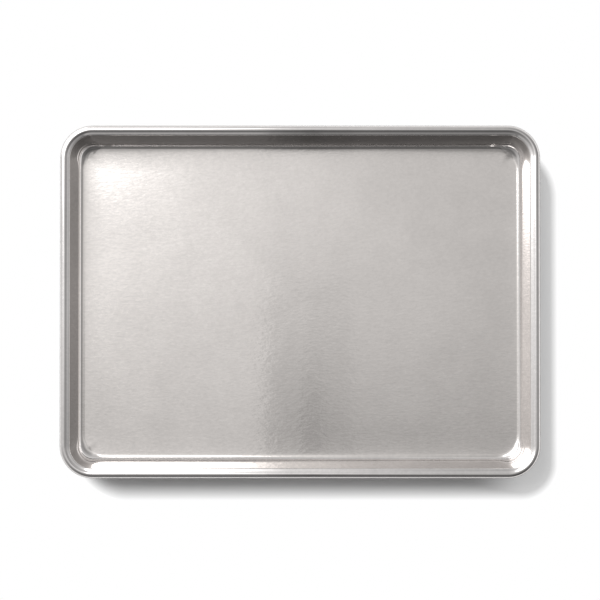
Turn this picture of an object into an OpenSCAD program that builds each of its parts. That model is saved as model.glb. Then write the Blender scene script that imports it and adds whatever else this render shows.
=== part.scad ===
// Jelly roll pan: one aluminium sheet drawn into a shallow tray, its edge curled round a steel wire.
// Millimetres. X runs along the pan and +Z is up. The origin is the middle of the underside, so the
// pan stands on z = 0.

/* [Pan] */
// Length over the rim
pan_l = 406.4; // [250:0.1:660]
// Width over the rim
pan_w = 298.4; // [180:0.1:460]
// Height of the rim's top above the underside of the floor
pan_h = 25.4; // [18:0.1:50]
// Thickness of the aluminium sheet
sheet_t = 1; // [0.6:0.05:1.4]

/* [Walls and corners] */
// Distance, seen from above, from the outside of the rim in to where the flat floor starts
floor_inset = 18.8; // [15:0.1:40]
// Corner radius of the flat floor, seen from above
floor_corner_r = 8.9; // [3:0.1:40]
// Inside radius of the bend between floor and wall
floor_bend_r = 4; // [2:0.1:8]
// Radius under the shoulder, where the wall turns out into the flange
shoulder_r = 1; // [0.5:0.1:3]

/* [Rim] */
// Diameter of the wire in the rim
wire_d = 4.7; // [3:0.1:6]
// Play between the wire and the sheet curled round it
wire_play = 0.1; // [0.05:0.01:0.3]
// Gap between the two butted ends of the wire
wire_gap = 0.4; // [0.2:0.1:2]
// Distance along the flange from the inner side of the curl to the start of the shoulder
flange_w = 0.35; // [0.2:0.05:8]
// Height of the curl's top above the flange
curl_rise = 1.2; // [0.5:0.1:1.6]
// Slot between the cut edge of the curl and the flange above it
curl_slot = 0.5; // [0.2:0.1:1]

/* [Hidden] */
$fn = 96;

// Flats in each bend of the sheet
bend_flats = 12;

// The rim follows a rounded rectangle. Its corner centres stand at plus and minus half of core_l and
// core_w, and a section is drawn with x measured outwards from a corner's centre.
corner_r = floor_corner_r + floor_inset;
core_l = pan_l - 2 * corner_r;
core_w = pan_w - 2 * corner_r;

// Curl: a tube of sheet, with the wire running through the middle of its bore
bore_r = wire_d / 2 + wire_play;
curl_r = bore_r + sheet_t;
curl_c = [corner_r - curl_r, pan_h - curl_r];

// Flange: its two faces, and the end that is buried half way into the curl's sheet
flange_top = pan_h - curl_rise;
flange_low = flange_top - sheet_t;
flange_mid_h = flange_top - sheet_t / 2 - curl_c.y;
flange_end = curl_c.x - sqrt(pow(bore_r + sheet_t / 2, 2) - pow(flange_mid_h, 2));

// Centres of the two bends, and the lean from upright of the wall that is tangent to both
floor_bend_c = [floor_corner_r, sheet_t + floor_bend_r];
shoulder_c = [corner_r - 2 * curl_r - flange_w, flange_low - shoulder_r];
bend_step = shoulder_c - floor_bend_c;
wall_lean = atan2(bend_step.x, bend_step.y)
    - asin((floor_bend_r + sheet_t + shoulder_r) / norm(bend_step));

aluminium = [0.78, 0.77, 0.76];
zinc = [0.58, 0.6, 0.62];

// Points along an arc about a centre, from one angle to another
function arc(centre, r, from, to) =
    [for (i = [0:bend_flats]) let (a = from + (to - from) * i / bend_flats) centre + r * [cos(a), sin(a)]];

// Carries a section round the rounded rectangle: one side and the corner at its end, four times over
module carried_round() {
    for (side = [0:3]) {
        reach = (side % 2 == 0 ? core_l : core_w) / 2;
        run = side % 2 == 0 ? core_w : core_l;
        rotate(90 * side) {
            translate([reach, 0, 0])
                rotate([90, 0, 0])
                    linear_extrude(run, center = true)
                        children();
            translate([reach, run / 2, 0])
                rotate_extrude(angle = 90)
                    children();
        }
    }
}

// Floor, floor bend, wall, shoulder and flange: up along the inside face, back along the outside
module wall_section() {
    polygon(concat(
        [[0, sheet_t]],
        arc(floor_bend_c, floor_bend_r, -90, -wall_lean),
        arc(shoulder_c, shoulder_r + sheet_t, 180 - wall_lean, 90),
        [[flange_end, flange_top], [flange_end, flange_low]],
        arc(shoulder_c, shoulder_r, 90, 180 - wall_lean),
        arc(floor_bend_c, floor_bend_r + sheet_t, -wall_lean, -90),
        [[0, 0]]
    ));
}

// Curl: a ring of sheet, open just under the flange where its cut edge ends
module curl_section() {
    difference() {
        translate(curl_c) circle(curl_r);
        translate(curl_c) circle(bore_r);
        translate([curl_c.x - 2 * curl_r, flange_low - curl_slot]) square([2 * curl_r, curl_slot]);
    }
}

module pan_shell() {
    color(aluminium) {
        translate([-core_l / 2, -core_w / 2, 0]) cube([core_l, core_w, sheet_t]);
        carried_round() {
            union() {
                wall_section();
                curl_section();
            }
        }
    }
}

// One length of wire, bent to the rim's shape and butted in the middle of a long side
module rim_wire() {
    color(zinc)
        difference() {
            carried_round() translate(curl_c) circle(d = wire_d);
            translate([0, curl_r - pan_w / 2, curl_c.y]) cube([wire_gap, 2 * wire_d, 2 * wire_d], center = true);
        }
}

pan_shell();
rim_wire();
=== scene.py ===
# Jelly roll pan in plain aluminium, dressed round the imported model. Metres; X runs along the pan, +Z is up.
import math

import bmesh
import bpy
import numpy as np
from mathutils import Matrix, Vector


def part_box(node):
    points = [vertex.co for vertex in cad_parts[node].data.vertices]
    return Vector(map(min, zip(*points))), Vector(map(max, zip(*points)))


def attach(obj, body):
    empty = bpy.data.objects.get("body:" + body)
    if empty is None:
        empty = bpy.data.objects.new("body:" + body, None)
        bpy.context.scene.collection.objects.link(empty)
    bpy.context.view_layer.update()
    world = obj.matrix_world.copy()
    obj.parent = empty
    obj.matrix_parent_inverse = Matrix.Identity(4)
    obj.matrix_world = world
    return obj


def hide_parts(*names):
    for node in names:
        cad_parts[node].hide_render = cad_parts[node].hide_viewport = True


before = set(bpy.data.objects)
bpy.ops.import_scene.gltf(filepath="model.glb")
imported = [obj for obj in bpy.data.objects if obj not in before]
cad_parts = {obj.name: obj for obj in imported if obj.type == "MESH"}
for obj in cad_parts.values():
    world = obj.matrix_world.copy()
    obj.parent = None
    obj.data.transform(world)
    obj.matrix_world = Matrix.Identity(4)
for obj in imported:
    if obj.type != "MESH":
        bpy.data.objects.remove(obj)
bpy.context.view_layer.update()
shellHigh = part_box("pan_shell")[1]
print("frame loaded:", ", ".join(sorted(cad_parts)))

mm = 0.001


def smooth(t):
    # 3 t^2 - 2 t^3, with t held between 0 and 1
    t = np.clip(t, 0, 1)
    return t * t * (3 - 2 * t)


def arcPoints(centreX, centreZ, radius, start, stop, count):
    # point = centre + radius * (cos a, sin a), for count angles from start to stop in degrees
    a = np.radians(np.linspace(start, stop, count))
    return centreX + radius * np.cos(a), centreZ + radius * np.sin(a)


def meshObject(name, points, faces):
    # Points and faces as an object at the origin
    mesh = bpy.data.meshes.new(name)
    mesh.from_pydata(points, [], faces)
    mesh.update()
    obj = bpy.data.objects.new(name, mesh)
    bpy.context.scene.collection.objects.link(obj)
    return obj


def flatSheet(name, low, high, height, faceUp):
    # A level rectangle, its corners taken anticlockwise to face up and clockwise to face down
    corners = [(low[0], low[1]), (high[0], low[1]), (high[0], high[1]), (low[0], high[1])]
    if not faceUp:
        corners = corners[:1] + corners[:0:-1]
    return meshObject(name, [(x, y, height) for x, y in corners], [(0, 1, 2, 3)])


class Nodes:
    # A node tree built by name. add() makes a node, sets its inputs and links the sockets that it is given. An input
    # goes by its name, with _ for a space, or by its number, as i0.
    def __init__(self, tree):
        self.tree = tree
        tree.nodes.clear()

    def add(self, kind, settings=None, **inputs):
        node = self.tree.nodes.new(kind)
        for key, value in (settings or {}).items():
            setattr(node, key, value)
        for key, value in inputs.items():
            numbered = key[0] == "i" and key[1:].isdigit()
            socket = node.inputs[int(key[1:]) if numbered else key.replace("_", " ")]
            if isinstance(value, bpy.types.NodeSocket):
                self.tree.links.new(value, socket)
            else:
                socket.default_value = value
        return node

    def math(self, operation, a, b=0.0, c=0.0, clamp=False):
        return self.add("ShaderNodeMath", {"operation": operation, "use_clamp": clamp}, i0=a, i1=b, i2=c).outputs[0]

    def chain(self, operation, values):
        # first value, operation, second value, operation and so on, from the left
        result = values[0]
        for value in values[1:]:
            result = self.math(operation, result, value)
        return result

    def plus(self, *values):
        return self.chain("ADD", values)

    def minus(self, *values):
        return self.chain("SUBTRACT", values)

    def times(self, *values):
        return self.chain("MULTIPLY", values)

    def swing(self, noise, amount):
        # amount * (noise - 1/2)
        return self.times(self.minus(noise, 0.5), amount)

    def ramp(self, value, low, high, toLow=0.0, toHigh=1.0, kind="SMOOTHSTEP"):
        # toLow at low, toHigh at high, and held beyond them
        limits = {"From_Min": low, "From_Max": high, "To_Min": toLow, "To_Max": toHigh}
        return self.add("ShaderNodeMapRange", {"interpolation_type": kind}, Value=value, **limits).outputs[0]

    def mix(self, share, first, second):
        # (1 - share) * first + share * second
        return self.add("ShaderNodeMix", {"data_type": "FLOAT"}, i0=share, i2=first, i3=second).outputs[0]

    def coordinates(self, kind):
        # x, y and z of a texture coordinate
        place = self.add("ShaderNodeTexCoord").outputs[kind]
        return self.add("ShaderNodeSeparateXYZ", None, Vector=place).outputs

    def noise(self, vector, pattern):
        # A noise from 0 to 1. A pattern is its marks per metre along each axis, its detail and its roughness.
        scale, detail, roughness = pattern
        vector = self.add("ShaderNodeMapping", None, Vector=vector, Scale=scale).outputs[0]
        look = {"Scale": 1.0, "Detail": detail, "Roughness": roughness}
        return self.add("ShaderNodeTexNoise", None, Vector=vector, **look).outputs[0]

    def scaled(self, colour, shade):
        # colour * shade
        return self.add("ShaderNodeVectorMath", {"operation": "SCALE"}, i0=colour, Scale=shade).outputs[0]

    def bump(self, height):
        # A normal that leans as a height in metres rises
        return self.add("ShaderNodeBump", None, Strength=1.0, Distance=1.0, Height=height).outputs[0]

    def glow(self, strength):
        # White light, strength 1 being plain white
        return self.add("ShaderNodeEmission", None, Color=(1, 1, 1, 1), Strength=strength)

    def outside(self, x, y, centre, half):
        # Plan distance outside a rectangle: |max(|p - centre| - half, 0)|
        gaps = []
        for value, middle, reach in zip((x, y), centre, half):
            offset = self.math("ABSOLUTE", self.minus(value, middle))
            gaps.append(self.math("MAXIMUM", self.minus(offset, reach), 0.0))
        return self.math("SQRT", self.plus(*(self.times(gap, gap) for gap in gaps)))

    def mirrored(self, path):
        # 1 for rays that the metal mirrors
        return self.math("MAXIMUM", path["Is Glossy Ray"], path["Is Transmission Ray"])

    def output(self, shader, kind="ShaderNodeOutputMaterial"):
        # The tree's result
        self.tree.links.new(shader.outputs[0], self.tree.nodes.new(kind).inputs[0])


def newMaterial(name):
    # A material, and its node tree with nothing in it yet
    material = bpy.data.materials.new(name)
    material.use_nodes = True
    return material, Nodes(material.node_tree)


panSheet = {
    "thickness": 1.0 * mm,
    "rimCornerRadius": 27.7 * mm,
    "floorInset": 19.1 * mm,  # from the rim's outside to the start of the flat floor, on the short sides
    "longSideExtra": 0.6 * mm,  # and this much more on the long sides
    "flatCornerRadius": 17.5 * mm,  # plan radius of the flat floor's own corners
    "bendRadius": 4.4 * mm,  # floor bend on the straight sides; it opens out in the corners
    "shoulderRadius": 0.4 * mm,  # under the shoulder
    "flangeWidth": 0.35 * mm,
    "flangeTilt": 12.0,  # degrees that the flange rises towards the curl
    "grooveFillet": 1.5 * mm,
    "curlRise": 1.2 * mm,
    "curlSlot": 0.5 * mm,
    "lipRound": 0.25 * mm,  # how far the curl's cut edge is rounded
    "mouthStep": 0.3 * mm,  # first point of the flange's underside, inwards from the mouth of the bore
    "wireDiameter": 4.7 * mm,
    "wirePlay": 0.1 * mm,
    "dishReach": 20.0 * mm,  # the floor starts to turn up this far inside its edge
    "dishStart": 0.5 * mm,
    "dishSlope": 0.035,
    "dishLeast": 0.35,  # share of the dish along the front and the right
    "dishBack": 1.0,  # and what the back and the left add to it
    "dishLeft": 0.45,
    "dishMiddle": 0.5,  # share of the back's part that is left in the middle of that side
    "waviness": 0.04 * mm,  # slow unevenness of the pressed floor
    "waves": ((41, 17, 0.6), (-12, 23, 1.9), (29, 63, 0.0)),  # radians per metre along X and Y, and phase
    "secondWave": 0.6,
    "waveFade": 60.0 * mm,
    "longSideSteps": 56,
    "shortSideSteps": 40,
    "cornerSteps": 26,
    "crowding": 0.35,  # how much closer the steps of a side get towards its ends
    "middleRings": 22,  # even floor rings, out to this share of the way to the edge
    "middleShare": 0.84,
    "edgeRings": (17, 14, 11.5, 9.5, 7.8, 6.3, 5, 3.9, 3, 2.2, 1.5, 0.9, 0.4, 0),  # mm inside the edge, beyond that
    "bendPoints": 19,
    "wallSteps": 7,
    "shoulderPoints": (14, 8),  # on the shoulder's upper and lower face
    "filletPoints": 6,
    "curlSteps": (10, 18, 14, 16),
    "lipSteps": 7,
    "borePoints": 40,
    "drawnOver": 6.0 * mm,  # the metal turns from rolled to drawn over this length of the section
    "mergeWithin": 0.5e-6,
    "dissolveUnder": 0.2e-6,
    "sharpAngle": 38.0,
}


def rimStations(halfCore, s):
    # Stations round the rounded rectangle, anticlockwise from the right side's lower end. Each has a core point and an
    # outward normal. A side's spacing is t -> (1 + c) t - c t^3, c being the crowding; a corner turns in equal angles.
    core, normal = [], []
    signs = [(1, 1), (-1, 1), (-1, -1), (1, -1)]
    for quarter in range(4):
        steps = s["shortSideSteps"] if quarter % 2 == 0 else s["longSideSteps"]
        t = np.linspace(-1, 1, steps + 1)[:, None]
        t = (1 + s["crowding"]) * t - s["crowding"] * t**3
        start, stop = np.array(signs[quarter - 1]) * halfCore, np.array(signs[quarter]) * halfCore
        core.append((start * (1 - t) + stop * (1 + t)) / 2)
        a = math.radians(90 * quarter)
        normal.append(np.tile([math.cos(a), math.sin(a)], (steps + 1, 1)))
        turn = np.radians(90 * quarter + np.linspace(0, 90, s["cornerSteps"] + 1)[1:-1])
        core.append(np.tile(stop, (len(turn), 1)))
        normal.append(np.stack([np.cos(turn), np.sin(turn)], axis=1))
    return np.concatenate(core), np.round(np.concatenate(normal), 12)


def dishWeight(core, normal, halfCore, s):
    # Share of the dish at a station: least + back * ends * max(ny, 0)^2 + left * max(-nx, 0)^2, where ends grows from
    # dishMiddle to 1 with u (2 - u), u being the square of the distance from the side's middle
    u = (core[:, 0] / halfCore[0]) ** 2
    ends = s["dishMiddle"] + (1 - s["dishMiddle"]) * u * (2 - u)
    back = s["dishBack"] * ends * np.maximum(normal[:, 1], 0) ** 2
    return s["dishLeast"] + back + s["dishLeft"] * np.maximum(-normal[:, 0], 0) ** 2


def dishRise(inside, s):
    # Rise of the dished floor at a distance inside its edge: slope * ln(reach / (distance + start)), summed from there
    # to the reach
    d = np.clip(inside + s["dishStart"], 0, s["dishReach"])
    return s["dishSlope"] * (s["dishReach"] - d * (1 + np.log(s["dishReach"] / d)))


def floorRise(plan, weight, flatHalf, s):
    # Height of the floor over its lowest point, never below zero: the dish by distance inside the flat's rounded
    # rectangle, and waves sin(a) sin(b) + second * sin(c) that fade out at its edge
    x, y = plan[..., 0], plan[..., 1]
    r = s["flatCornerRadius"]
    qx, qy = np.abs(x) - (flatHalf[0] - r), np.abs(y) - (flatHalf[1] - r)
    inside = r - np.hypot(np.maximum(qx, 0), np.maximum(qy, 0)) - np.minimum(np.maximum(qx, qy), 0)
    first, across, second = (np.sin(perX * x + perY * y + phase) for perX, perY, phase in s["waves"])
    most = 1 + s["secondWave"]
    waves = (most + first * across + s["secondWave"] * second) / most
    return weight[:, None] * dishRise(np.maximum(inside, 0), s) + smooth(inside / s["waveFade"]) * s["waviness"] * waves


def flatEdge(core, normal, flatHalf, s):
    # Distance from a core point along its normal n to the flat's rounded rectangle of corner radius r. With p from the
    # nearest corner's centre to the core point, edge = -p.n + sqrt((p.n)^2 - p.p + r^2).
    r = s["flatCornerRadius"]
    away = np.maximum(np.abs(core) - (flatHalf - r), 0)
    along = (away * np.abs(normal)).sum(axis=1)
    return -along + np.sqrt(along**2 - (away**2).sum(axis=1) + r**2)


def curlOutside(x, z, radius, start, stop, steps):
    # The curl's outside, centre + radius * (cos a, sin a), with points exactly at its top, side and bottom, so that it
    # fills the CAD box and no more
    stops = [start, 90, 0, -90, stop]
    angles = [np.linspace(a, b, count + 1)[1:] for a, b, count in zip(stops, stops[1:], steps)]
    a = np.radians(np.concatenate(angles))
    return x + radius * np.cos(a), z + radius * np.sin(a)


def sheetSection(edge, weight, top, s):
    # The sheet's section at every station, from the flat floor's edge up the inside, round the curl, and back down the
    # outside: distances from the core point and heights, both as stations x points
    t = s["thickness"]
    bore = s["wireDiameter"] / 2 + s["wirePlay"]
    curl = bore + t
    curlX, curlZ = s["rimCornerRadius"] - curl, top - curl
    flangeLow = top - s["curlRise"] - t
    shoulderX, shoulderZ = curlX - curl - s["flangeWidth"], flangeLow - s["shoulderRadius"]
    shoulderOut = s["shoulderRadius"] + t
    # The wall is tangent to the floor bend and to the shoulder: lean = atan(dx / dz) - asin(sum of radii / distance)
    bendX, bendZ = s["rimCornerRadius"] - s["floorInset"], t + s["bendRadius"]
    stepX, stepZ = shoulderX - bendX, shoulderZ - bendZ
    lean = math.atan2(stepX, stepZ) - math.asin((s["bendRadius"] + shoulderOut) / math.hypot(stepX, stepZ))
    tilt = math.pi / 2 - lean
    # The bend still meets that wall where the flat's edge lies further in: it grows by cos / (1 - sin) of the lean
    bend = s["bendRadius"] + (bendX - edge) * math.cos(lean) / (1 - math.sin(lean))
    # The dished floor arrives with a slope, so the bend starts at that angle and stands higher
    slope = weight * s["dishSlope"] * math.log(s["dishReach"] / s["dishStart"])
    meet = np.arctan(slope)
    lift = weight * dishRise(0, s) + slope * bend * np.sin(meet) - bend * (1 - np.cos(meet))

    def bendArc(extra, angles):
        # across = edge + (bend + extra) * sin a, and up = t + lift + bend - (bend + extra) * cos a
        x = edge[:, None] + (bend + extra)[:, None] * np.sin(angles)
        z = (t + lift + bend)[:, None] - (bend + extra)[:, None] * np.cos(angles)
        return x, z

    def everywhere(points):
        # The same points at every station
        return [np.tile(values, (len(edge), 1)) for values in points]

    def between(before, after, share):
        # last point before + share * (first point after - last point before)
        return [a[:, -1:] + share * (b[:, :1] - a[:, -1:]) for a, b in zip(before, after)]

    # Groove: a fillet of radius r touches the curl at angle a and the flange's line, which rises at q from the
    # shoulder's arc of radius R, where
    # (curl + r) sin(a + q) = R + r + sin(q) (curlX - shoulderX) - cos(q) (curlZ - shoulderZ)
    fillet, q = s["grooveFillet"], math.radians(s["flangeTilt"])
    reach = shoulderOut + fillet + math.sin(q) * (curlX - shoulderX) - math.cos(q) * (curlZ - shoulderZ)
    a = math.asin(reach / (curl + fillet)) - q
    filletX, filletZ = curlX - (curl + fillet) * math.cos(a), curlZ + (curl + fillet) * math.sin(a)
    groove = 180 - math.degrees(a)
    # Lip: the curl's cut edge, rounded between its outside and its bore at a height over the curl's middle
    lipZ = flangeLow - s["curlSlot"] - s["lipRound"] - curlZ
    lipOut, lipIn = (-math.sqrt(radius**2 - lipZ**2) for radius in (curl, bore))
    outerLip, boreLip = (-180 - math.degrees(math.asin(lipZ / radius)) for radius in (curl, bore))
    turn = np.radians(np.linspace(180, 0, s["lipSteps"] + 1)[1:-1])
    lipX = curlX + (lipOut + lipIn) / 2 + (lipIn - lipOut) / 2 * np.cos(turn)
    # Mouth of the bore: where the flange's underside meets it
    mouthX = curlX - math.sqrt(bore**2 - (flangeLow - curlZ) ** 2)
    mouth = 180 - math.degrees(math.asin((flangeLow - curlZ) / bore))

    up = meet[:, None] + (tilt - meet)[:, None] * np.linspace(0, 1, s["bendPoints"])
    wall = np.linspace(0, 1, s["wallSteps"] + 1)[1:-1]
    wallTop, flange = 90 + math.degrees(tilt), 90 + s["flangeTilt"]
    upper, lower = s["shoulderPoints"]
    bendIn, bendOut = bendArc(0, up), bendArc(t, up[:, ::-1][:, ::2])
    shoulder = everywhere(arcPoints(shoulderX, shoulderZ, shoulderOut, wallTop, flange, upper))
    under = everywhere(arcPoints(shoulderX, shoulderZ, s["shoulderRadius"], 90, wallTop, lower))
    parts = [
        bendIn,
        between(bendIn, shoulder, wall),
        shoulder,
        everywhere(arcPoints(filletX, filletZ, fillet, flange - 180, groove - 180, s["filletPoints"])),
        everywhere(curlOutside(curlX, curlZ, curl, groove, outerLip, s["curlSteps"])),
        everywhere((lipX, curlZ + lipZ + s["lipRound"] * np.sin(turn))),
        everywhere(arcPoints(curlX, curlZ, bore, boreLip, mouth, s["borePoints"])),
        everywhere(((mouthX - s["mouthStep"], (mouthX + shoulderX) / 2), (flangeLow, flangeLow))),
        under,
        between(under, bendOut, wall[::2]),
        bendOut,
    ]
    return [np.concatenate(values, axis=1) for values in zip(*parts)]


def shellGrid(s):
    # The sheet as a closed grid, stations x points: floor rings out to the flat's edge, the section, and the rings
    # back in underneath. A floor ring is middle + share * (edge - middle), about the floor's middle line.
    halfCore = np.array([shellHigh.x, shellHigh.y]) - s["rimCornerRadius"]
    flatHalf = halfCore + s["rimCornerRadius"] - s["floorInset"] - np.array([0, s["longSideExtra"]])
    core, normal = rimStations(halfCore, s)
    weight = dishWeight(core, normal, halfCore, s)
    edge = flatEdge(core, normal, flatHalf, s)
    outX, outZ = sheetSection(edge, weight, shellHigh.z, s)
    wall = np.concatenate([core[:, None] + outX[..., None] * normal[:, None], outZ[..., None]], axis=2)
    rim = core + edge[:, None] * normal
    spine = flatHalf[0] - flatHalf[1]
    middle = np.stack([np.clip(rim[:, 0], -spine, spine), np.zeros(len(rim))], axis=1)
    nearEdge = 1 - np.array(s["edgeRings"]) * mm / flatHalf[1]
    share = np.concatenate([np.linspace(0, s["middleShare"], s["middleRings"]), nearEdge])
    rings = middle[:, None] + share[None, :, None] * (rim - middle)[:, None]
    rise = floorRise(rings, weight, flatHalf, s)
    upper = np.concatenate([rings, (s["thickness"] + rise)[..., None]], axis=2)
    lower = np.concatenate([rings, rise[..., None]], axis=2)[:, ::-1]
    return np.concatenate([upper, wall, lower], axis=1), core + s["rimCornerRadius"] * normal, len(share)


def surfaceValues(grid, outline, rings, s):
    # Two attributes. runCoord wraps the rim's run round a circle, with the length along the section as z, from 0 at the
    # flat's edge. drawn is 0 on the rolled floor, above and below, and 1 on the wall and the curl.
    stepRound = np.linalg.norm(np.roll(outline, -1, axis=0) - outline, axis=1)
    radius = stepRound.sum() / (2 * np.pi)
    turn = np.concatenate([[0], np.cumsum(stepRound)[:-1]]) / radius
    stepAlong = np.linalg.norm(np.diff(grid, axis=1), axis=2)
    profile = np.pad(np.cumsum(stepAlong, axis=1), ((0, 0), (1, 0)))
    profile = profile - profile[:, [rings - 1]]
    ring = radius * np.stack([np.cos(turn), np.sin(turn)], axis=1)
    run = np.concatenate([np.repeat(ring[:, None], grid.shape[1], axis=1), profile[..., None]], axis=2)
    drawn = smooth(profile / s["drawnOver"]) * smooth((profile[:, [-rings]] - profile) / s["drawnOver"])
    return run, drawn


def closeSeams(mesh, s):
    # Merges the points that fall together on the floor's middle line, and reports what is left
    bm = bmesh.new()
    bm.from_mesh(mesh)
    bmesh.ops.remove_doubles(bm, verts=bm.verts, dist=s["mergeWithin"])
    bmesh.ops.dissolve_degenerate(bm, edges=bm.edges, dist=s["dissolveUnder"])
    openEdges = sum(1 for edge in bm.edges if len(edge.link_faces) != 2)
    volume = bm.calc_volume(signed=True)
    bm.to_mesh(mesh)
    bm.free()
    counts = f"{len(mesh.vertices)} points, {len(mesh.polygons)} faces, {openEdges} open edges"
    print(f"shell: {counts}, {volume * 1e9:.0f} mm3")


def buildShell(s):
    # A face joins two neighbouring points of a station's section to the same two at the next station round
    grid, outline, rings = shellGrid(s)
    index = np.arange(grid.shape[0] * grid.shape[1]).reshape(grid.shape[:2])
    after = np.roll(index, -1, axis=0)
    faces = np.stack([index[:, :-1], index[:, 1:], after[:, 1:], after[:, :-1]], axis=2).reshape(-1, 4)
    obj = meshObject("drawn_shell", grid.reshape(-1, 3), faces.tolist())
    run, drawn = surfaceValues(grid, outline, rings, s)
    for name, kind, field, values in (("runCoord", "FLOAT_VECTOR", "vector", run), ("drawn", "FLOAT", "value", drawn)):
        attribute = obj.data.attributes.new(name, kind, "POINT")
        attribute.data.foreach_set(field, values.astype(np.float32).ravel())
    closeSeams(obj.data, s)
    obj.data.shade_smooth()
    obj.data.set_sharp_from_angle(angle=math.radians(s["sharpAngle"]))
    return obj


shell = buildShell(panSheet)


aluminium = {
    "colour": (0.832, 0.792, 0.765),
    "drawnColour": (0.824, 0.796, 0.784),  # on the drawn walls and the curl
    "roughness": 0.06,
    "burnished": 0.048,  # roughness of the drawn walls and the curl
    "anisotropy": 1.0,
    "grain": ((310.0, 450.0, 450.0), 3.0, 0.6),  # marks per metre along each axis, detail and roughness of the noise
    "ripple": ((220.0, 560.0, 560.0), 2.0, 0.55),  # shallow ripples of the rolled floor
    "peel": ((62.0, 62.0, 62.0), 2.0, 0.45),
    "cloud": ((14.0, 14.0, 14.0), 2.0, 0.5),
    "scuff": ((40.0, 40.0, 40.0), 4.0, 0.65),
    "streak": ((16.0, 16.0, 1500.0), 3.0, 0.6),  # drawing lines round the walls
    "cloudShare": 0.6,  # of the mottled shade, the rest being scuffs
    "mottleFrom": 0.35,  # range of that mix over which the shade runs
    "mottleTo": 0.65,
    "mottleShade": (0.96, 1.03),
    "streakSwing": 0.2,  # swing of the streaks, up and down, over which their shade runs
    "streakShade": 0.025,
    "grainShade": 0.2,
    "grainRough": 0.05,  # how much the roughness swings with the grain, the clouds and the streaks
    "cloudRough": 0.03,
    "streakRough": 0.06,
    "rippleDepth": 3.2e-5,
    "rippleDrawn": 0.06,  # share of the ripples, and of the peel, that is left on the drawn walls
    "peelDepth": 0.6e-5,
    "peelDrawn": 0.25,
    "streakDepth": 0.16e-5,
}


def aluminiumMaterial(s):
    material, n = newMaterial("rolled_aluminium")
    place = n.add("ShaderNodeTexCoord").outputs["Object"]
    run = n.add("ShaderNodeAttribute", {"attribute_name": "runCoord"}).outputs["Vector"]
    drawn = n.add("ShaderNodeAttribute", {"attribute_name": "drawn"}).outputs["Fac"]
    names = ("grain", "ripple", "peel", "cloud", "scuff")
    grain, ripple, peel, cloud, scuff = (n.noise(place, s[name]) for name in names)
    streak = n.noise(run, s["streak"])
    onWalls = n.times(n.minus(streak, 0.5), drawn)
    # colour: base * mottle * lines * (1 + grainShade * (grain - 1/2)), with the lines on the drawn walls only
    mixed = n.plus(n.times(cloud, s["cloudShare"]), n.times(scuff, 1 - s["cloudShare"]))
    mottle = n.ramp(mixed, s["mottleFrom"], s["mottleTo"], *s["mottleShade"])
    lines = n.ramp(onWalls, -s["streakSwing"], s["streakSwing"], 1 - s["streakShade"], 1 + s["streakShade"])
    shade = n.times(mottle, lines, n.plus(n.swing(grain, s["grainShade"]), 1.0))
    colours = {"i4": s["colour"], "i5": s["drawnColour"]}
    base = n.add("ShaderNodeMix", {"data_type": "VECTOR"}, i0=drawn, **colours).outputs[1]
    # roughness: mill grain on the floor, burnished and streaked on the drawn walls and the curl
    rough = n.plus(s["roughness"], n.swing(grain, s["grainRough"]), n.swing(cloud, s["cloudRough"]))
    rough = n.plus(rough, n.times(drawn, s["burnished"] - s["roughness"]))
    rough = n.math("ADD", rough, n.times(onWalls, s["streakRough"]), clamp=True)
    # height: ripples and peel at full depth on the floor and a share of it on the drawn walls, and the streaks there
    flat = n.minus(1.0, drawn)
    height = n.times(streak, drawn, s["streakDepth"])
    for noise, depth, left in ((ripple, s["rippleDepth"], s["rippleDrawn"]), (peel, s["peelDepth"], s["peelDrawn"])):
        height = n.plus(height, n.times(noise, n.math("MULTIPLY_ADD", flat, depth * (1 - left), depth * left)))
    across = n.add("ShaderNodeCombineXYZ", None, X=0.0, Y=1.0, Z=0.0).outputs[0]  # the grain spreads light along X
    finish = {"Metallic": 1.0, "Roughness": rough, "Anisotropic": s["anisotropy"], "Tangent": across}
    colour = n.scaled(base, shade)
    n.output(n.add("ShaderNodeBsdfPrincipled", None, Base_Color=colour, Normal=n.bump(height), **finish))
    return material


wireZinc = {
    "colour": (0.6, 0.62, 0.64),
    "roughness": 0.34,
    "bloom": ((90.0, 90.0, 90.0), 3.0, 0.6),  # cloudy zinc, its shade running over this range of the noise
    "bloomFrom": 0.3,
    "bloomTo": 0.7,
    "bloomShade": (0.9, 1.04),
    "bloomRough": 0.16,
    "lines": ((120.0, 120.0, 2600.0), 2.0, 0.5),  # fine drawing lines
    "lineShade": 0.08,
    "lineDepth": 0.3e-5,
}


def wireMaterial(s):
    # colour = zinc * (bloom's shade + lineShade * (lines - 1/2)), roughness = base + bloomRough * (bloom - 1/2)
    material, n = newMaterial("zinc_wire")
    place = n.add("ShaderNodeTexCoord").outputs["Object"]
    bloom, lines = n.noise(place, s["bloom"]), n.noise(place, s["lines"])
    shade = n.plus(n.ramp(bloom, s["bloomFrom"], s["bloomTo"], *s["bloomShade"]), n.swing(lines, s["lineShade"]))
    finish = {"Metallic": 1.0, "Roughness": n.plus(s["roughness"], n.swing(bloom, s["bloomRough"]))}
    bump = n.bump(n.times(lines, s["lineDepth"]))
    n.output(n.add("ShaderNodeBsdfPrincipled", None, Base_Color=n.scaled(s["colour"], shade), Normal=bump, **finish))
    return material


shell.data.materials.append(aluminiumMaterial(aluminium))
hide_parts("pan_shell")
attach(shell, "root")

zinc = wireMaterial(wireZinc)
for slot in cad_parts["rim_wire"].material_slots:
    slot.material = zinc
print("metals set")


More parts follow.
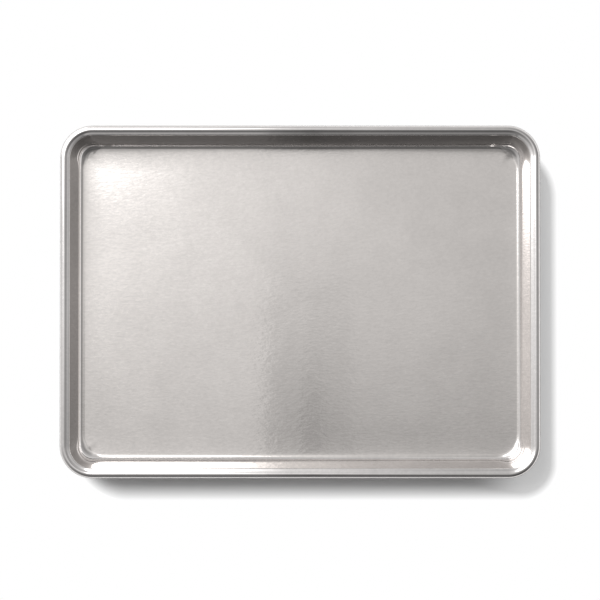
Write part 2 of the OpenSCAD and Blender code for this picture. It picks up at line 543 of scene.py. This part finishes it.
table = {
    "size": 8.0,
    "drop": 0.2 * mm,
    "albedo": 0.76,
    "shadowShift": (12.4 * mm, -15.6 * mm),
    "shadowReach": -11.7 * mm,  # for the camera it turns white from here outwards, over this width, which paints light over the outer part of the cast shadow and shapes its fade
    "shadowEdge": 15.2 * mm,
    "shadowCorner": 45.0 * mm,  # corner radius of the painted white edge round the shadow where x y > 0, at the back right and front left
    "cornerChange": 0.01,  # the value of x y by which that radius is reached
    "paintedSideLight": 0.36,  # painted light over the shadow at the right side, white that the camera alone sees, standing in for light thrown back there
    "sideFrom": 60.0 * mm,  # growing from here to there inside the pan's right side
    "sideTo": 8.0 * mm,
    "mirrorReach": 25.0 * mm,  # and the metal mirrors white from here outwards, over this width
    "mirrorEdge": 90.0 * mm,
}


def buildTable(s):
    # A pale table. It turns to plain white with distance outside a rounded rectangle as large as the pan and shifted to
    # the shadow's side, so that the shadow stays: close by for the camera, by the square of a linear ramp whose inner
    # part paints light over the shadow's outer fade, and farther out for mirrored rays. The camera also sees max(that
    # white, a painted side level) along the right side, which is painted light over the shadow there.
    half = s["size"] / 2
    obj = flatSheet("table", (-half, -half), (half, half), -s["drop"], True)
    material, n = newMaterial("pale_table")
    path = n.add("ShaderNodeLightPath").outputs
    x, y = n.coordinates("Object")[:2]
    corner = n.ramp(n.times(x, y), 0.0, s["cornerChange"], panSheet["rimCornerRadius"], s["shadowCorner"])
    core = [n.minus(size, corner) for size in (shellHigh.x, shellHigh.y)]
    away = n.minus(n.outside(x, y, s["shadowShift"], core), corner)
    # painted light: white over the outer part of the cast shadow, which shapes its fade
    fadeOut = n.ramp(away, s["shadowReach"], s["shadowReach"] + s["shadowEdge"], kind="LINEAR")
    # painted light: the camera sees this level of white over the shadow along the right side
    side = n.ramp(x, shellHigh.x - s["sideFrom"], shellHigh.x - s["sideTo"], 0.0, s["paintedSideLight"])
    seen = n.times(path["Is Camera Ray"], n.math("MAXIMUM", n.times(fadeOut, fadeOut), side))
    far = n.ramp(away, s["mirrorReach"], s["mirrorReach"] + s["mirrorEdge"])
    white = n.plus(seen, n.times(n.mirrored(path), far))
    paint = n.add("ShaderNodeBsdfDiffuse", None, Color=(s["albedo"],) * 3 + (1,))
    mixed = {"i1": paint.outputs[0], "i2": n.glow(1.0).outputs[0]}
    n.output(n.add("ShaderNodeMixShader", None, i0=white, **mixed))
    obj.data.materials.append(material)


softbox = {
    "height": 1.6,
    "centre": (-0.86, 0.97),
    "half": (0.34, 0.34),  # of the rectangle that the light falls away from
    "fullTo": 0.32,  # full level up to this distance outside the rectangle, and none from goneAt on
    "goneAt": 0.52,
    "level": 3.0,
}

halo = {
    "half": 3.4,  # half the side of the sheet
    "gap": 0.002,  # over the softbox
    "start": 0.52,  # distance outside the softbox's rectangle from which it falls away
    "level": 0.4,
    "fade": 0.47,
    "nearLevel": 0.48,  # a second, narrow part close to the softbox
    "nearFade": 4.6,
    "backStart": 0.1,  # the wide part is weaker towards the back
    "backEnd": 0.6,
    "backKeep": 0.1,
    "slitLeft": -0.047,  # dim slit across the halo, running forward from over the middle
    "slitRight": 0.07,
    "slitEdge": 0.003,
    "slitNear": 0.12,
    "slitFar": -0.02,
    "slitDepth": 0.16,
    "core": 0.018,  # a dimmer line in the slit, full to coreHalf from here in x and gone at coreGone
    "coreHalf": 0.007,
    "coreGone": 0.017,
    "coreNear": 0.03,
    "coreFar": -0.12,
    "coreDepth": 0.24,
    "lift": 0.1,  # the halo is stronger by this share just left of the slit, growing from liftFrom
    "liftFrom": -0.32,
    "front": (0.05, -0.3),  # the front is dimmer, and more so to the right
    "frontDim": 0.12,
    "frontRight": (-0.06, 0.0),
    "frontRightDim": 0.34,
    "farRight": (0.55, 0.85, 1.0, 0.6),  # past the walls' view: from full here to this share there
    "farFront": (-0.5, -0.85, 1.0, 0.6),
}


def softboxGlow(n, x, y, away):
    # level * (1 - smoothstep(fullTo, goneAt, distance outside the rectangle))
    return n.ramp(away, softbox["fullTo"], softbox["goneAt"], softbox["level"], 0.0)


def haloGlow(n, x, y, away):
    # (back * level * exp(-fade * r) + nearLevel * exp(-nearFade * r)) * (1 - slit - core + lift) * (1 - front) * far,
    # r being the distance past the start
    s = halo
    r = n.math("MAXIMUM", n.minus(away, s["start"]), 0.0)
    wide, near = (
        n.times(n.math("EXPONENT", n.times(r, -s[fade])), s[level])
        for fade, level in (("fade", "level"), ("nearFade", "nearLevel"))
    )
    light = n.plus(n.times(wide, n.ramp(y, s["backStart"], s["backEnd"], 1.0, s["backKeep"])), near)
    inLeft = n.ramp(x, s["slitLeft"] - s["slitEdge"], s["slitLeft"] + s["slitEdge"])
    inRight = n.ramp(x, s["slitRight"] + s["slitEdge"], s["slitRight"] - s["slitEdge"])
    slit = n.times(inLeft, inRight, n.ramp(y, s["slitNear"], s["slitFar"], 0.0, s["slitDepth"]))
    core = n.ramp(n.math("ABSOLUTE", n.minus(x, s["core"])), s["coreHalf"], s["coreGone"], s["coreDepth"], 0.0)
    core = n.times(core, n.ramp(y, s["coreNear"], s["coreFar"]))
    lift = n.times(n.ramp(x, s["liftFrom"], s["slitLeft"], 0.0, s["lift"]), n.minus(1.0, inLeft))
    lift = n.times(lift, n.ramp(y, s["slitNear"], s["slitFar"]))
    dimmed = n.minus(n.plus(slit, core), lift)
    frontDim = n.ramp(x, *s["frontRight"], s["frontDim"], s["frontDim"] + s["frontRightDim"])
    front = n.times(n.ramp(y, *s["front"]), frontDim)
    far = n.times(n.ramp(x, *s["farRight"]), n.ramp(y, *s["farFront"]))
    return n.times(light, n.times(n.minus(1.0, dimmed), n.minus(1.0, front), far))


def lightSheet(name, low, high, height, strengthOf):
    # A clear sheet overhead, facing down, that only adds light and isn't seen by the camera
    obj = flatSheet(name, low, high, height, False)
    material, n = newMaterial(name + "_glow")
    x, y = n.coordinates("Object")[:2]
    away = n.outside(x, y, softbox["centre"], softbox["half"])
    front = n.minus(1.0, n.add("ShaderNodeNewGeometry").outputs["Backfacing"])
    glow = n.glow(n.times(strengthOf(n, x, y, away), front))
    clear = n.add("ShaderNodeBsdfTransparent")
    n.output(n.add("ShaderNodeAddShader", None, i0=glow.outputs[0], i1=clear.outputs[0]))
    obj.data.materials.append(material)
    obj.visible_camera = False
    obj.visible_shadow = False


def buildLights():
    # The softbox's sheet reaches as far as its light, centre +- (half + goneAt). The halo's lies just over it.
    low, high = (
        [middle + side * (half + softbox["goneAt"]) for middle, half in zip(softbox["centre"], softbox["half"])]
        for side in (-1, 1)
    )
    lightSheet("softbox", low, high, softbox["height"], softboxGlow)
    lightSheet("halo", (-halo["half"],) * 2, (halo["half"],) * 2, softbox["height"] + halo["gap"], haloGlow)


studio = {
    "overhead": 0.2,  # level straight up, more to the back, and never under the least
    "overheadToBack": 0.25,
    "overheadLeast": 0.02,
    "low": 0.4,  # level low down
    "lowToBack": 0.3,
    "lowToSides": 0.1,
    "lowToRight": -0.2,
    "lowRight": 0.75,  # glow low down on the right, gone between these heights of a direction
    "lowRightUpTo": 0.2,
    "lowRightGone": 0.34,
    "keyWay": (-0.7071, 0.7071),  # more light low down on this side, the softbox's
    "keySide": 1.3,
    "keyFrom": 0.78,  # from the first to the second share of a direction that faces it
    "keyTo": 0.92,
    "keyGap": 0.43,  # height of a direction where that light has a gap, and the distances from it where the gap ends
    "keyGapFrom": 0.05,
    "keyGapTo": 0.11,
    "lowUpTo": 0.38,  # as the height of a direction, from 0 at the horizon to 1 straight up
    "overheadFrom": 0.78,
    "horizonUpTo": 0.02,  # mirrored rays see white up to here, and none of it from horizonGone on
    "horizonGone": 0.06,
}


def buildWorld(s):
    # Plain grey room for a direction x, y, z: max(overhead + overheadToBack * y, least) high up, and
    # low + lowToBack * y + lowToSides * x^2 + lowToRight * x + lowRight * max(x, 0)^2 + key low down.
    # Camera rays see white, and so do mirrored rays at the horizon.
    world = bpy.data.worlds.new("studio")
    bpy.context.scene.world = world
    world.use_nodes = True
    n = Nodes(world.node_tree)
    x, y, z = n.coordinates("Generated")
    high = n.math("MAXIMUM", n.math("MULTIPLY_ADD", y, s["overheadToBack"], s["overhead"]), s["overheadLeast"])
    toSides = n.times(x, n.math("MULTIPLY_ADD", x, s["lowToSides"], s["lowToRight"]))
    right = n.math("MAXIMUM", x, 0.0)
    rightGlow = n.times(right, right, n.ramp(z, s["lowRightUpTo"], s["lowRightGone"], s["lowRight"], 0.0))
    facing = n.plus(*(n.times(value, way) for value, way in zip((x, y), s["keyWay"])))
    facing = n.math("DIVIDE", facing, n.math("SQRT", n.plus(n.times(x, x), n.times(y, y))))
    gap = n.ramp(n.math("ABSOLUTE", n.minus(z, s["keyGap"])), s["keyGapFrom"], s["keyGapTo"])
    key = n.times(n.ramp(facing, s["keyFrom"], s["keyTo"], 0.0, s["keySide"]), gap)
    low = n.plus(n.math("MULTIPLY_ADD", y, s["lowToBack"], s["low"]), toSides, rightGlow, key)
    level = n.mix(n.ramp(z, s["lowUpTo"], s["overheadFrom"]), low, high)
    path = n.add("ShaderNodeLightPath").outputs
    band = n.ramp(z, s["horizonUpTo"], s["horizonGone"], 1.0, 0.0)
    white = n.math("MAXIMUM", path["Is Camera Ray"], n.times(n.mirrored(path), band))
    room = n.add("ShaderNodeBackground", None, Color=(1, 1, 1, 1), Strength=n.mix(white, level, 1.0))
    n.output(room, "ShaderNodeOutputWorld")


cameraSet = {
    "distance": 2.7,
    "lean": 1.56,  # degrees from straight above, to the front
    "lens": 191.76,
    "sensor": 36.0,
    "clipEnd": 50.0,
    "aim": (-0.08 * mm, 1.35 * mm, 25.0 * mm),
}


def buildCamera(s):
    # The camera stands almost straight above: aim + distance * (0, -sin lean, cos lean)
    lean = math.radians(s["lean"])
    data = bpy.data.cameras.new("camera")
    data.lens, data.sensor_width, data.clip_end = s["lens"], s["sensor"], s["clipEnd"]
    camera = bpy.data.objects.new("camera", data)
    bpy.context.scene.collection.objects.link(camera)
    x, y, z = s["aim"]
    camera.location = (x, y - s["distance"] * math.sin(lean), z + s["distance"] * math.cos(lean))
    camera.rotation_euler = (lean, 0.0, 0.0)
    bpy.context.scene.camera = camera


buildTable(table)
buildLights()
buildWorld(studio)
buildCamera(cameraSet)
bpy.context.scene.view_settings.view_transform = "Standard"
print("table, light and camera set")
